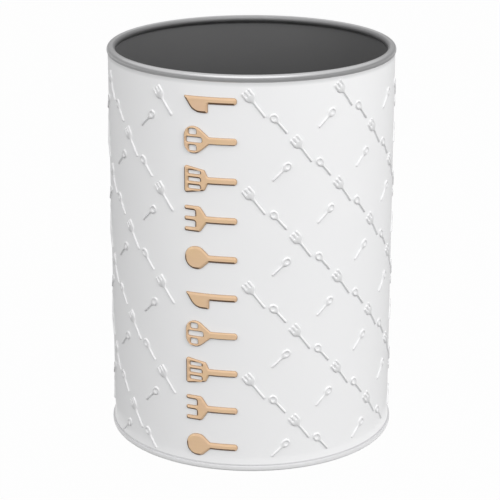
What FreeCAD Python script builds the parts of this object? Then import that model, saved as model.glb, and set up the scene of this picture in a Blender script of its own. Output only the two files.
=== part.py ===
import FreeCAD, Part
import math
import os

import Sketcher
from FreeCAD import Vector

# A free-standing pot for kitchen utensils, in millimetres, +Z up. The origin is the centre of the foot, on
# the surface that the pot stands on, and the front faces -Y.
#
# A rolled outer wall and a smooth rolled liner stand one inside the other. Small forks and spoons are pressed
# out of the outer wall in slanting chains, with single spoons between them. The base plate is pressed from
# one sheet: its panel lies above the surface, its hem is rolled into the visible foot, and its upstand plugs
# the outer wall. The liner stands in the groove of the hem, and a loose floor disc closes it. A hollow bead
# is rolled over the top edges of both walls. A column of raised utensil figures is bonded to the front.

# Driving dimensions
SIZES = {
    # overall
    "pot_height": 150.0,
    "wall_radius": 53.6,
    "seat_clearance": 0.05,
    # outer wall
    "wall_sheet": 0.3,
    "flare_height": 3.0,
    "flare_out": 0.4,
    "flare_bend": 8.0,
    "seam_half": 2.6,
    "seam_height": 0.3,
    "seam_margin": 0.6,
    # pattern pressed out of the wall: forks in columns, each fork with two spoons at set places beside it
    "pressed_height": 0.85,
    "pressed_root": 0.15,
    "column_pitch": 17.2,
    "column_drop": 17.15,
    "row_pitch": 35.4,
    "front_fork_arc": -0.8,
    "front_fork_level": 36.2,
    "chain_spoon_across": 8.9,
    "chain_spoon_up": -8.0,
    "free_spoon_across": 13.4,
    "free_spoon_up": 9.6,
    "fork_slant": -53.0,
    "chain_spoon_slant": -50.0,
    "free_spoon_slant": -137.0,
    "plain_before": 4.8,
    "plain_after": 2.1,
    "seam_gap": 9.0,
    # pressed fork and spoon, with their places measured from the middle of the head
    "small_fork_end": 10.4,
    "small_fork_end_half": 0.72,
    "small_fork_neck": 2.9,
    "small_fork_neck_half": 0.55,
    "small_fork_heel": 1.7,
    "small_fork_half": 2.1,
    "small_fork_tip": 2.5,
    "small_tine_inside": 1.15,
    "small_tine_half": 0.48,
    "small_fork_root": 0.3,
    "small_spoon_end": 7.95,
    "small_spoon_end_half": 0.66,
    "small_spoon_neck": 2.2,
    "small_spoon_neck_half": 0.48,
    "small_spoon_heel": 1.1,
    "small_spoon_half": 1.5,
    "small_spoon_tip": 1.9,
    "small_bowl_bend": 1.1,
    # liner and its floor
    "liner_gap": 0.6,
    "liner_sheet": 0.3,
    "floor_sheet": 0.4,
    # rim bead
    "bead_radius": 1.55,
    "bead_overhang": 0.4,
    "bead_sheet": 0.3,
    # base plate
    "base_sheet": 0.4,
    "base_raise": 2.0,
    "panel_bend": 0.8,
    "hem_overhang": 1.0,
    "hem_height": 2.2,
    "hem_top_bend": 0.6,
    "hem_foot_bend": 1.0,
    "upstand_height": 5.0,
    # column of raised figures, centred this far round the wall from the front, with its first and last
    # figure this far from the pot's foot and from its top
    "column_arc": -14.9,
    "figure_first": 9.2,
    "figure_last": 9.4,
    "figure_height": 0.8,
    "figure_half": 9.8,
    "handle_half": 1.3,
    "handle_flat": 0.15,
    "crook_bend": 0.5,
    # spoon figure, with its places along the handle measured from the head's tip, as on every figure
    "spoon_neck": 9.2,
    "spoon_heel": 6.0,
    "spoon_half": 4.3,
    "spoon_heel_bend": 3.0,
    "spoon_tip_bend": 4.1,
    # fork figure
    "fork_neck": 8.4,
    "fork_heel": 6.0,
    "fork_root": 4.2,
    "fork_half": 4.8,
    "fork_heel_bend": 1.6,
    "tine_width": 1.6,
    "tine_half": 0.8,
    "tine_bend": 0.6,
    # turner figure
    "turner_neck": 9.0,
    "turner_heel": 7.8,
    "turner_heel_half": 3.8,
    "turner_half": 5.2,
    "turner_bend": 1.0,
    "slot_near": 6.2,
    "slot_far": 1.6,
    "slot_half": 0.65,
    "slot_spacing": 2.7,
    "slot_bend": 0.5,
    # whisk figure
    "whisk_neck": 9.6,
    "whisk_belly": 5.2,
    "whisk_half": 5.0,
    "whisk_belly_bend": 4.0,
    "whisk_tip_bend": 3.6,
    "whisk_wire": 1.0,
    "whisk_eye_near": 6.9,
    "whisk_eye_half": 0.95,
    "whisk_eye_bend": 0.6,
    "whisk_side_near": 4.8,
    "whisk_side_far": 1.9,
    # knife figure
    "knife_heel": 9.2,
    "knife_belly": 3.8,
    "knife_depth": 4.6,
    "knife_belly_bend": 5.0,
    "knife_point_bend": 0.35,
}

# Radii and levels that more than one piece uses, as sums of driving dimensions
WALL_INNER = "wall_radius - wall_sheet"
LINER_OUTER = WALL_INNER + " - liner_gap"
LINER_INNER = LINER_OUTER + " - liner_sheet"
HEM_OUTER = "wall_radius + hem_overhang"
BEAD_LEVEL = "pot_height - bead_radius"
SHEET_TOP = BEAD_LEVEL + " - seat_clearance"
PANEL_TOP = "base_raise + base_sheet"
TIP = "- figure_half"
HANDLE_BEND = "handle_half - handle_flat"
AXIS = ""

doc = FreeCAD.newDocument("UtensilPot")
sheet = doc.addObject("Spreadsheet::Sheet", "Sizes")


def fill_sheet():
    """Write each driving dimension into the sheet, with its name as the cell's alias."""
    for row, (name, value) in enumerate(SIZES.items(), start=1):
        sheet.set(f"A{row}", name)
        sheet.set(f"B{row}", str(value))
        sheet.setAlias(f"B{row}", name)
    doc.recompute()


def length(terms):
    """The value of a sum of driving dimensions, written as words such as "wall_radius - wall_sheet"."""
    total, sign = 0.0, 1.0
    for word in terms.split():
        if word in "+-":
            sign = 1.0 if word == "+" else -1.0
        else:
            total += sign * float(sheet.get(word))
            sign = 1.0
    return total


def bound(terms):
    """The same sum as an expression on the sheet's cells."""
    return " ".join(word if word in "+-" else "Sizes." + word for word in terms.split())


def negative(terms):
    """The same sum with every sign turned round."""
    words = terms.split()
    if words[0] not in "+-":
        words.insert(0, "+")
    turned = {"+": "-", "-": "+"}
    return " ".join(turned.get(word, word) for word in words)


def new_body(label):
    body = doc.addObject("PartDesign::Body", label)
    body.Label = label
    return body


def new_sketch(body, role, name):
    sketch = body.newObject("Sketcher::SketchObject", name)
    plane = next(part for part in body.Origin.OriginFeatures if part.Role == role)
    sketch.AttachmentSupport = [(plane, "")]
    sketch.MapMode = "FlatFace"
    return sketch


def sized(kind, *where, terms):
    """A rule of a sketch: a constraint with a size, and the sum of driving dimensions that gives it."""
    return Sketcher.Constraint(kind, *where, length(terms)), terms


def fixed(kind, *where):
    """A rule of a sketch with no size of its own."""
    return Sketcher.Constraint(kind, *where), None


def placed(geometry, vertex, across, up):
    """The rules that put a sketch point at two sums. An empty sum is the sketch's own axis."""
    column, row = fixed("PointOnObject", geometry, vertex, -2), fixed("PointOnObject", geometry, vertex, -1)
    if across:
        column = sized("DistanceX", geometry, vertex, terms=across)
    if up:
        row = sized("DistanceY", geometry, vertex, terms=up)
    return [column, row]


def obey(sketch, rules):
    """Add all rules to a sketch at once, and bind the sized ones to the sheet."""
    first = sketch.ConstraintCount
    sketch.addConstraint([constraint for constraint, terms in rules])
    for index, (constraint, terms) in enumerate(rules, start=first):
        if terms:
            sketch.setExpression(f"Constraints[{index}]", bound(terms))


def bend_at(before, corner, after, radius):
    """The tangent arc in a corner: its start on the way in, its end on the way out, its centre, its side."""
    way_in = (before - corner).normalize()
    way_out = (after - corner).normalize()
    half_angle = way_in.getAngle(way_out) / 2
    reach = radius / math.tan(half_angle)
    start = corner + way_in * reach
    end = corner + way_out * reach
    centre = corner + (way_in + way_out).normalize() * (radius / math.sin(half_angle))
    turns_left = way_in.cross(way_out).z < 0
    return start, end, centre, turns_left


def outline(sketch, corners):
    """Draw a closed outline. Each corner is (across, up, bend): two sums, and its bend's name or None."""
    points = [Vector(length(across), length(up), 0) for across, up, bend in corners]
    count = len(corners)
    starts, ends, arcs = list(points), list(points), [None] * count
    for i, (across, up, bend) in enumerate(corners):
        if bend:
            radius = length(bend)
            following = points[(i + 1) % count]
            start, end, centre, turns_left = bend_at(points[i - 1], points[i], following, radius)
            first, last = (start, end) if turns_left else (end, start)
            circle = Part.Circle(centre, Vector(0, 0, 1), radius)
            arc = Part.ArcOfCircle(circle, circle.parameter(first), circle.parameter(last))
            arcs[i] = (sketch.addGeometry(arc, False), turns_left)
            starts[i], ends[i] = start, end
    lines = [
        sketch.addGeometry(Part.LineSegment(ends[i], starts[(i + 1) % count]), False) for i in range(count)
    ]
    rules = []
    for i, (across, up, bend) in enumerate(corners):
        line_in, line_out = lines[i - 1], lines[i]
        if not bend:
            rules += [fixed("Coincident", line_in, 2, line_out, 1)] + placed(line_out, 1, across, up)
            continue
        arc, turns_left = arcs[i]
        arc_in, arc_out = (1, 2) if turns_left else (2, 1)
        corner = sketch.addGeometry(Part.Point(points[i]), True)
        rules += [
            fixed("Tangent", line_in, 2, arc, arc_in),
            fixed("Tangent", arc, arc_out, line_out, 1),
            sized("Radius", arc, terms=bend),
            fixed("PointOnObject", corner, 1, line_in),
            fixed("PointOnObject", corner, 1, line_out),
        ]
        rules += placed(corner, 1, across, up)
    obey(sketch, rules)


def box_outline(left, right, low, high, bend=None):
    """The corners of an upright box, for outline()."""
    return [(right, high, bend), (left, high, bend), (left, low, bend), (right, low, bend)]


def mirrored(upper_half):
    """An outline that is the same on both sides of the sketch's level axis, from its upper half."""
    lower_half = [(across, negative(up), bend) for across, up, bend in reversed(upper_half)]
    return upper_half + lower_half


def spin(body, kind, sketch, name):
    """Turn a sketch once round the pot's axis, as a Revolution or a Groove."""
    feature = body.newObject("PartDesign::" + kind, name)
    feature.Profile = sketch
    feature.ReferenceAxis = (sketch, ["V_Axis"])
    feature.Angle = 360
    sketch.Visibility = False
    return feature


def revolved(label, corners):
    """A sheet-metal piece turned round the pot's axis from one closed outline."""
    body = new_body(label)
    profile = new_sketch(body, "XZ_Plane", label + "_profile")
    outline(profile, corners)
    spin(body, "Revolution", profile, label + "_turned")
    return body


def groove(body, outlines, name):
    """Cut outlines turned round the pot's axis out of a body, and make sure that they removed something."""
    doc.recompute()
    before = body.Shape.Volume
    profile = new_sketch(body, "XZ_Plane", name + "_profile")
    for corners in outlines:
        outline(profile, corners)
    spin(body, "Groove", profile, name)
    doc.recompute()
    if not body.Shape.Volume < before:
        raise ValueError(name + " cuts nothing")


def make_wall_sheet():
    """The rolled sheet of the outer wall: flared over the hem at its foot, with a lap seam up its back."""
    flare_top = "hem_height + flare_height"
    flare_outer = "wall_radius + flare_out"
    body = revolved(
        "wall_sheet_body",
        [
            ("wall_radius", SHEET_TOP, None),
            (WALL_INNER, SHEET_TOP, None),
            (WALL_INNER, flare_top, "flare_bend"),
            (flare_outer + " - wall_sheet", "hem_height", None),
            (flare_outer, "hem_height", None),
            ("wall_radius", flare_top, "flare_bend"),
        ],
    )
    seam = new_sketch(body, "XY_Plane", "seam_profile")
    seam.AttachmentOffset = FreeCAD.Placement(
        Vector(0, 0, length(flare_top + " + seam_margin")), FreeCAD.Rotation()
    )
    seam.setExpression("AttachmentOffset.Base.z", bound(flare_top + " + seam_margin"))
    arcs, rules = [], []
    for radius in (WALL_INNER, "wall_radius + seam_height"):
        reach = math.asin(length("seam_half") / length(radius))
        circle = Part.Circle(Vector(0, 0, 0), Vector(0, 0, 1), length(radius))
        arc = seam.addGeometry(Part.ArcOfCircle(circle, math.pi / 2 - reach, math.pi / 2 + reach), False)
        rules += [fixed("Coincident", arc, 3, -1, 1), sized("Radius", arc, terms=radius)]
        arcs.append(arc)
    inner, outer = arcs
    for end, across in ((1, "seam_half"), (2, "- seam_half")):
        edge = Part.LineSegment(seam.getPoint(inner, end), seam.getPoint(outer, end))
        side = seam.addGeometry(edge, False)
        rules += [
            fixed("Coincident", side, 1, inner, end),
            fixed("Coincident", side, 2, outer, end),
            fixed("Vertical", side),
            sized("DistanceX", side, 1, terms=across),
        ]
    obey(seam, rules)
    strip = body.newObject("PartDesign::Pad", "seam")
    strip.Profile = seam
    tall = SHEET_TOP + " - bead_radius - seam_margin - hem_height - flare_height - seam_margin"
    strip.setExpression("Length", bound(tall))
    seam.Visibility = False
    return body


def curved_form(label, outlines, back, height, reach):
    """A form curved to the wall: outlines pushed out from the axis, trimmed by turning, `height` thick."""
    body = new_body(label)
    drawing = new_sketch(body, "XZ_Plane", label + "_drawing")
    for corners in outlines:
        outline(drawing, corners)
    pad = body.newObject("PartDesign::Pad", label + "_pad")
    pad.Profile = drawing
    front = f"{back} + {height}"
    pad.setExpression("Length", bound(f"{front} + {height}"))
    drawing.Visibility = False
    inside = box_outline(AXIS, back, negative(reach), reach)
    outside = box_outline(front, f"{front} + {reach}", negative(reach), reach)
    groove(body, [inside, outside], label + "_trim")
    return body, drawing


def pressed_form(label, corners, slant, reach):
    """A small form to press out of the wall, with the middle of its head at the front, on level zero."""
    root = "wall_radius - pressed_root"
    body, drawing = curved_form(label, [corners], root, "pressed_root + pressed_height", reach)
    turn = FreeCAD.Rotation(Vector(0, 0, 1), length(slant))
    drawing.AttachmentOffset = FreeCAD.Placement(Vector(0, 0, 0), turn)
    drawing.setExpression("AttachmentOffset.Rotation.Angle", bound(slant) + " * 1 deg")
    doc.recompute()
    return body


def small_fork_corners():
    return mirrored([
        ("small_fork_end", "small_fork_end_half", None),
        ("small_fork_neck", "small_fork_neck_half", None),
        ("small_fork_heel", "small_fork_half", None),
        ("- small_fork_tip", "small_fork_half", None),
        ("- small_fork_tip", "small_tine_inside", None),
        ("- small_fork_root", "small_tine_inside", None),
        ("- small_fork_root", "small_tine_half", None),
        ("- small_fork_tip", "small_tine_half", None),
    ])


def small_spoon_corners():
    return mirrored([
        ("small_spoon_end", "small_spoon_end_half", None),
        ("small_spoon_neck", "small_spoon_neck_half", None),
        ("small_spoon_heel", "small_spoon_half", "small_bowl_bend"),
        ("- small_spoon_tip", "small_spoon_half", "small_bowl_bend"),
    ])


def pattern_copies(shape, across, up):
    """Copies of a pressed form at its place beside every fork of the pattern, where it fits.

    None stands in the figures' plain band, at the seam, or over the hem or the bead."""
    radius = length("wall_radius")
    plain_from = length("column_arc - figure_half - plain_before")
    plain_to = length("column_arc + figure_half + plain_after")
    half_round = math.pi * radius - length("seam_gap")
    lowest = length("hem_height + seat_clearance") - shape.BoundBox.ZMin
    highest = length(BEAD_LEVEL + " - bead_radius - seat_clearance") - shape.BoundBox.ZMax
    columns = math.ceil(math.pi * radius / length("column_pitch"))
    rows = math.ceil((length("pot_height") + columns * length("column_drop")) / length("row_pitch"))
    copies = []
    for column in range(-columns, columns + 1):
        arc = length("front_fork_arc") + column * length("column_pitch") + across
        if abs(arc) > half_round or plain_from < arc < plain_to:
            continue
        first = length("front_fork_level") - column * length("column_drop") + up
        for row in range(-rows, rows + 1):
            level = first + row * length("row_pitch")
            if lowest <= level <= highest:
                copy = shape.copy()
                copy.rotate(Vector(0, 0, 0), Vector(0, 0, 1), math.degrees(arc / radius))
                copy.translate(Vector(0, 0, level))
                copies.append(copy)
    return copies


def make_outer_wall():
    """The outer wall: its rolled sheet, with the pattern pressed out of it."""
    wall_sheet = make_wall_sheet()
    fork_reach = "small_fork_end + small_fork_tip"
    fork = pressed_form("chain_fork_form", small_fork_corners(), "fork_slant", fork_reach)
    spoon_reach = "small_spoon_end + small_spoon_tip"
    chain_spoon = pressed_form("chain_spoon_form", small_spoon_corners(), "chain_spoon_slant", spoon_reach)
    free_spoon = pressed_form("free_spoon_form", small_spoon_corners(), "free_spoon_slant", spoon_reach)
    doc.recompute()
    copies = pattern_copies(fork.Shape, 0, 0)
    copies += pattern_copies(chain_spoon.Shape, length("chain_spoon_across"), length("chain_spoon_up"))
    copies += pattern_copies(free_spoon.Shape, length("free_spoon_across"), length("free_spoon_up"))
    print("pressed forms", len(copies))
    pattern = doc.addObject("Part::Feature", "pressed_forms")
    pattern.Shape = Part.makeCompound(copies)
    wall = doc.addObject("Part::MultiFuse", "outer_wall")
    wall.Label = "outer_wall"
    wall.Shapes = [wall_sheet, pattern]
    wall.Refine = False
    return wall


def make_inner_liner():
    """The smooth inner sleeve, from the groove of the hem up into the bead."""
    return revolved("inner_liner", box_outline(LINER_INNER, LINER_OUTER, "base_sheet", SHEET_TOP))


def make_inner_floor():
    """The disc that closes the liner. It lies on the base plate's panel."""
    edge = LINER_INNER + " - seat_clearance"
    return revolved("inner_floor", box_outline(AXIS, edge, PANEL_TOP, PANEL_TOP + " + floor_sheet"))


def make_base_plate():
    """One pressed sheet: raised panel, foot, rolled hem, and the upstand inside the outer wall."""
    groove_inner = LINER_INNER + " - seat_clearance"
    panel_edge = groove_inner + " - base_sheet"
    upstand_outer = WALL_INNER + " - seat_clearance"
    upstand_inner = upstand_outer + " - base_sheet"
    upstand_top = "hem_height + upstand_height"
    hem_inside = HEM_OUTER + " - base_sheet"
    hem_ceiling = "hem_height - base_sheet"
    return revolved(
        "base_plate",
        [
            (AXIS, "base_raise", None),
            (panel_edge, "base_raise", "panel_bend"),
            (panel_edge, AXIS, None),
            (HEM_OUTER, AXIS, "hem_foot_bend"),
            (HEM_OUTER, "hem_height", "hem_top_bend"),
            (upstand_outer, "hem_height", None),
            (upstand_outer, upstand_top, None),
            (upstand_inner, upstand_top, None),
            (upstand_inner, hem_ceiling, None),
            (hem_inside, hem_ceiling, None),
            (hem_inside, "base_sheet", "hem_top_bend"),
            (groove_inner, "base_sheet", None),
            (groove_inner, PANEL_TOP, None),
            (AXIS, PANEL_TOP, None),
        ],
    )


def make_rim_ring():
    """The hollow bead over both walls, slit underneath where their top edges enter."""
    body = new_body("rim_ring")
    section = new_sketch(body, "XZ_Plane", "bead_section")
    bead_centre = "wall_radius + bead_overhang - bead_radius"
    centre = Vector(length(bead_centre), length(BEAD_LEVEL), 0)
    rules = []
    for radius in ("bead_radius", "bead_radius - bead_sheet"):
        circle = section.addGeometry(Part.Circle(centre, Vector(0, 0, 1), length(radius)), False)
        rules += placed(circle, 3, bead_centre, BEAD_LEVEL) + [sized("Radius", circle, terms=radius)]
    obey(section, rules)
    spin(body, "Revolution", section, "bead_turned")
    slit = box_outline(
        LINER_INNER + " - seat_clearance",
        "wall_radius + seat_clearance",
        BEAD_LEVEL + " - bead_radius - seat_clearance",
        BEAD_LEVEL,
    )
    groove(body, [slit], "sheet_slit")
    return body


def handle_and(head):
    """A figure that is the same on both sides: the handle's end, then the upper half of the head."""
    return mirrored([("figure_half", "handle_half", HANDLE_BEND)] + head)


def spoon_outlines():
    return [
        handle_and([
            (TIP + " + spoon_neck", "handle_half", "crook_bend"),
            (TIP + " + spoon_heel", "spoon_half", "spoon_heel_bend"),
            (TIP, "spoon_half", "spoon_tip_bend"),
        ])
    ]


def fork_outlines():
    tine_inside = "fork_half - tine_width"
    return [
        handle_and([
            (TIP + " + fork_neck", "handle_half", "crook_bend"),
            (TIP + " + fork_heel", "fork_half", "fork_heel_bend"),
            (TIP, "fork_half", "tine_bend"),
            (TIP, tine_inside, "tine_bend"),
            (TIP + " + fork_root", tine_inside, "tine_bend"),
            (TIP + " + fork_root", "tine_half", "tine_bend"),
            (TIP, "tine_half", "tine_bend"),
        ])
    ]


def turner_outlines():
    blade = handle_and([
        (TIP + " + turner_neck", "handle_half", "crook_bend"),
        (TIP + " + turner_heel", "turner_heel_half", "turner_bend"),
        (TIP, "turner_half", "turner_bend"),
    ])
    far, near = TIP + " + slot_far", TIP + " + slot_near"
    slots = [
        box_outline(far, near, row + " - slot_half", row + " + slot_half", "slot_bend")
        for row in ("slot_spacing", "- slot_spacing")
    ]
    slots.append(box_outline(far, near, "- slot_half", "slot_half", "slot_bend"))
    return [blade] + slots


def whisk_outlines():
    cage = handle_and([
        (TIP + " + whisk_neck", "handle_half", "crook_bend"),
        (TIP + " + whisk_belly", "whisk_half", "whisk_belly_bend"),
        (TIP, "whisk_half", "whisk_tip_bend"),
    ])
    eye_far, eye_near = TIP + " + whisk_wire", TIP + " + whisk_eye_near"
    eye = box_outline(eye_far, eye_near, "- whisk_eye_half", "whisk_eye_half", "whisk_eye_bend")
    side_far, side_near = TIP + " + whisk_side_far", TIP + " + whisk_side_near"
    side_low = "whisk_eye_half + whisk_wire"
    side_high = "whisk_half - whisk_wire"
    upper = box_outline(side_far, side_near, side_low, side_high, "whisk_eye_bend")
    lower = box_outline(side_far, side_near, negative(side_high), negative(side_low), "whisk_eye_bend")
    return [cage, eye, upper, lower]


def knife_outlines():
    return [
        [
            ("figure_half", "handle_half", HANDLE_BEND),
            (TIP, "handle_half", "knife_point_bend"),
            (TIP + " + knife_belly", "- knife_depth", "knife_belly_bend"),
            (TIP + " + knife_heel", "- knife_depth", "crook_bend"),
            (TIP + " + knife_heel", "- handle_half", "crook_bend"),
            ("figure_half", "- handle_half", HANDLE_BEND),
        ]
    ]


def make_figure(kind, outlines, place_name, share):
    """A flat figure across the column, curved to the wall.

    Its share of the way from the column's first figure to its last sets its level."""
    label = f"{place_name}_{kind}_figure"
    body = curved_form(label, outlines, "wall_radius + seat_clearance", "figure_height", "figure_half")[0]
    column = "(Sizes.pot_height - Sizes.figure_first - Sizes.figure_last)"
    body.setExpression("Placement.Base.z", f"Sizes.figure_first + {column} * {share}")
    body.Placement.Rotation = FreeCAD.Rotation(Vector(0, 0, 1), 0)
    body.setExpression("Placement.Rotation.Angle", "Sizes.column_arc / Sizes.wall_radius * 1 rad")
    return body


def make_figures():
    """Each kind of figure comes twice in the column, in the same order from the bottom."""
    kinds = {
        "spoon": spoon_outlines(),
        "fork": fork_outlines(),
        "turner": turner_outlines(),
        "whisk": whisk_outlines(),
        "knife": knife_outlines(),
    }
    halves = ("lower", "upper")
    steps = len(halves) * len(kinds) - 1
    figures = []
    for half, place_name in enumerate(halves):
        for order, (kind, outlines) in enumerate(kinds.items()):
            step = order + half * len(kinds)
            figures.append(make_figure(kind, outlines, place_name, f"{step} / {steps}"))
    return figures


def check(pieces):
    """Stop if any object of the document failed, or any piece isn't one valid solid."""
    for item in doc.Objects:
        if "Invalid" in item.State or "Error" in item.State:
            raise ValueError(f"{item.Label} failed: {item.State}")
    for piece in pieces:
        shape = piece.Shape
        if shape.isNull() or not shape.isValid() or len(shape.Solids) != 1:
            raise ValueError(piece.Label + " isn't one valid solid")
        print(piece.Label, "volume", round(shape.Volume, 1))


fill_sheet()
pieces = [make_outer_wall(), make_inner_liner(), make_inner_floor(), make_base_plate(), make_rim_ring()]
pieces += make_figures()
doc.recompute()
check(pieces)
os.makedirs("parts", exist_ok=True)
for piece in pieces:
    piece.Shape.exportStep(os.path.join("parts", piece.Label + ".step"))
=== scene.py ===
import math

import bmesh
import bpy
from mathutils import Matrix, Vector


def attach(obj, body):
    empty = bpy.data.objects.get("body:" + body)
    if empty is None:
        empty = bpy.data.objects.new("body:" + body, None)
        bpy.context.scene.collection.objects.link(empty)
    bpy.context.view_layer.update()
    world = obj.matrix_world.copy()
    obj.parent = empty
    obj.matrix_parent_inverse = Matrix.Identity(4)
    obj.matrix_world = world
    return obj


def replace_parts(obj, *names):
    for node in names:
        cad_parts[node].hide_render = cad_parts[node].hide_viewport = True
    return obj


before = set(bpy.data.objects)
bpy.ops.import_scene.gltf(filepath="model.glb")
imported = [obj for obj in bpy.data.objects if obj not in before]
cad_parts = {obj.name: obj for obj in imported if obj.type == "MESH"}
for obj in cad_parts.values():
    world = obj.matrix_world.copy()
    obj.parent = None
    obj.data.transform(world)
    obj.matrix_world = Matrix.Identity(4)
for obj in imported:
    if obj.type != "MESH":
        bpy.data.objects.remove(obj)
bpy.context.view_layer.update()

# A pot for kitchen utensils, in metres, +Z up, with its front towards -Y. Its sizes below are in
# millimetres and are those of the part's source, but for the small pressed forms, which are slimmer and
# lower here. MM turns them into metres where a mesh is made.
MM = 0.001

# Sizes of the pot
POT_HEIGHT = 150.0
WALL_RADIUS = 53.6
CLEARANCE = 0.05
WALL_SHEET = 0.3
FLARE_HEIGHT = 3.0
FLARE_OUT = 0.4
FLARE_BEND = 8.0
SEAM_HALF = 2.6
SEAM_HEIGHT = 0.3
SEAM_MARGIN = 0.6
SEAM_CORNER_BEND = 0.5
SEAM_STEPS = [(0.0, -0.1), (0.0, 0.08), (0.1, 0.22), (0.3, SEAM_HEIGHT)]
LINER_GAP = 0.6
LINER_SHEET = 0.3
LINER_EDGE_BEND = 0.1
FLOOR_SHEET = 0.4
FLOOR_EDGE_BEND = 0.15
BEAD_RADIUS = 1.55
BEAD_OVERHANG = 0.4
BEAD_SHEET = 0.3
BASE_SHEET = 0.4
BASE_RAISE = 2.0
PANEL_BEND = 0.8
FOOT_EDGE_BEND = 0.15
HEM_OVERHANG = 1.0
HEM_HEIGHT = 2.2
HEM_TOP_BEND = 0.6
HEM_FOOT_BEND = 1.0
UPSTAND_HEIGHT = 5.0
SHEET_EDGE_BEND = 0.12

# Radii and levels that come from them
WALL_INNER = WALL_RADIUS - WALL_SHEET
LINER_OUTER = WALL_INNER - LINER_GAP
LINER_INNER = LINER_OUTER - LINER_SHEET
HEM_OUTER = WALL_RADIUS + HEM_OVERHANG
BEAD_CENTRE = WALL_RADIUS + BEAD_OVERHANG - BEAD_RADIUS
BEAD_LEVEL = POT_HEIGHT - BEAD_RADIUS
SHEET_TOP = BEAD_LEVEL - CLEARANCE
PANEL_TOP = BASE_RAISE + BASE_SHEET
FLARE_TOP = HEM_HEIGHT + FLARE_HEIGHT

# Sizes of the column of raised figures, with places on a head measured from its tip
COLUMN_ARC = -14.9
FIGURE_FIRST = 9.2
FIGURE_LAST = 9.4
FIGURE_HEIGHT = 0.8
FIGURE_HALF = 9.8
TIP = -FIGURE_HALF
HANDLE_HALF = 1.3
HANDLE_BEND = 1.15
CROOK_BEND = 0.5
SPOON_NECK = 9.2
SPOON_HEEL = 6.0
SPOON_HALF = 4.3
SPOON_HEEL_BEND = 3.0
SPOON_TIP_BEND = 4.1
FORK_NECK = 8.4
FORK_HEEL = 6.0
FORK_ROOT = 4.2
FORK_HALF = 4.8
FORK_HEEL_BEND = 1.6
TINE_WIDTH = 1.6
TINE_HALF = 0.8
TINE_BEND = 0.6
TURNER_NECK = 9.0
TURNER_HEEL = 7.8
TURNER_HEEL_HALF = 3.8
TURNER_HALF = 5.2
TURNER_BEND = 1.0
SLOT_NEAR = 6.2
SLOT_FAR = 1.6
SLOT_HALF = 0.65
SLOT_SPACING = 2.7
SLOT_BEND = 0.5
WHISK_NECK = 9.6
WHISK_BELLY = 5.2
WHISK_HALF = 5.0
WHISK_BELLY_BEND = 4.0
WHISK_TIP_BEND = 3.6
WHISK_WIRE = 1.0
WHISK_EYE_NEAR = 6.9
WHISK_EYE_HALF = 0.95
WHISK_EYE_BEND = 0.6
WHISK_SIDE_NEAR = 4.8
WHISK_SIDE_FAR = 1.9
KNIFE_HEEL = 9.2
KNIFE_BELLY = 3.8
KNIFE_DEPTH = 4.6
KNIFE_BELLY_BEND = 5.0
KNIFE_POINT_BEND = 0.35

# How far a figure's slope reaches in over its top, and the steps up its flank: the height where the
# slope starts, the first step as (share of the reach, height), and the last one under the front face
FIGURE_SLOPES = {"spoon": 0.8, "fork": 0.68, "turner": 0.62, "whisk": 0.42, "knife": 0.8}
FLANK_HEIGHT = 0.26
SLOPE_START = (0.08, 0.34)
SLOPE_END_SHARE = 0.85
SLOPE_END_DROP = 0.06

# Sizes of the pattern pressed out of the wall: forks in columns, each fork with two spoons beside it
PRESSED_HEIGHT = 0.52
COLUMN_PITCH = 17.2
COLUMN_DROP = 17.15
ROW_PITCH = 35.4
FRONT_FORK_ARC = -0.8
FRONT_FORK_LEVEL = 36.2
CHAIN_SPOON_SHIFT = (8.9, -8.0)
FREE_SPOON_SHIFT = (13.4, 9.6)
FORK_SLANT = -53.0
CHAIN_SPOON_SLANT = -50.0
FREE_SPOON_SLANT = -137.0
PLAIN_BEFORE = 4.8
PLAIN_AFTER = 2.1
SEAM_GAP = 9.0
COLUMNS_EACH_WAY = 10
PATTERN_ROWS = 6
OUTERMOST = 54.55

# A small fork and spoon as (along the handle from the head's middle, half width, bend), upper half
# only, and the steps up their flanks and down the spoon's dish as (inset, height)
SMALL_FORK = [
    (9.3, 0.4, 0.36),
    (2.3, 0.34, 0.8),
    (1.1, 1.85, 1.1),
    (-2.4, 1.85, 0.45),
    (-2.4, 1.0, 0.3),
    (-0.3, 1.0, 0.2),
    (-0.3, 0.5, 0.2),
    (-2.4, 0.5, 0.3),
]
SMALL_SPOON = [(7.1, 0.4, 0.36), (1.8, 0.33, 0.7), (0.8, 1.4, 1.05), (-1.9, 1.4, 1.3)]
SMALL_BOWL = [(0.6, 1.0, 0.85), (-1.4, 1.0, 0.9)]
PRESSED_STEPS = [(-0.24, -0.02), (-0.14, 0.05), (0.0, 0.2), (0.14, 0.41), (0.3, PRESSED_HEIGHT)]
DISH_STEPS = [(0.0, PRESSED_HEIGHT), (0.22, PRESSED_HEIGHT - 0.28), (0.5, PRESSED_HEIGHT - 0.36)]

# Mesh fineness: steps round the pot and round the bead, how far one step of a bend turns, the strips
# that a form is cut into so that it can follow the wall, and the tightest bend that an inset leaves
TURN_STEPS = 256
BEAD_STEPS = 44
FINE_BEND = math.radians(15)
COARSE_BEND = math.radians(40)
STRIP_WIDTH = 1.0
PRESSED_STRIP_WIDTH = 3.4
LEAST_BEND = 0.02

# A point counts as on the axis, or on a cut (in metres), when it is this near
AXIS_TOUCH = 1e-6
CUT_TOUCH = 1e-7

# Edges are sharp where their faces meet at more than this. Forms in the flat stand out of the wall to -Y.
CREASE = math.radians(35)
FIGURE_CREASE = math.radians(14)
PRESSED_CREASE = math.radians(80)
OUTWARDS = Vector((0, -1, 0))

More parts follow.
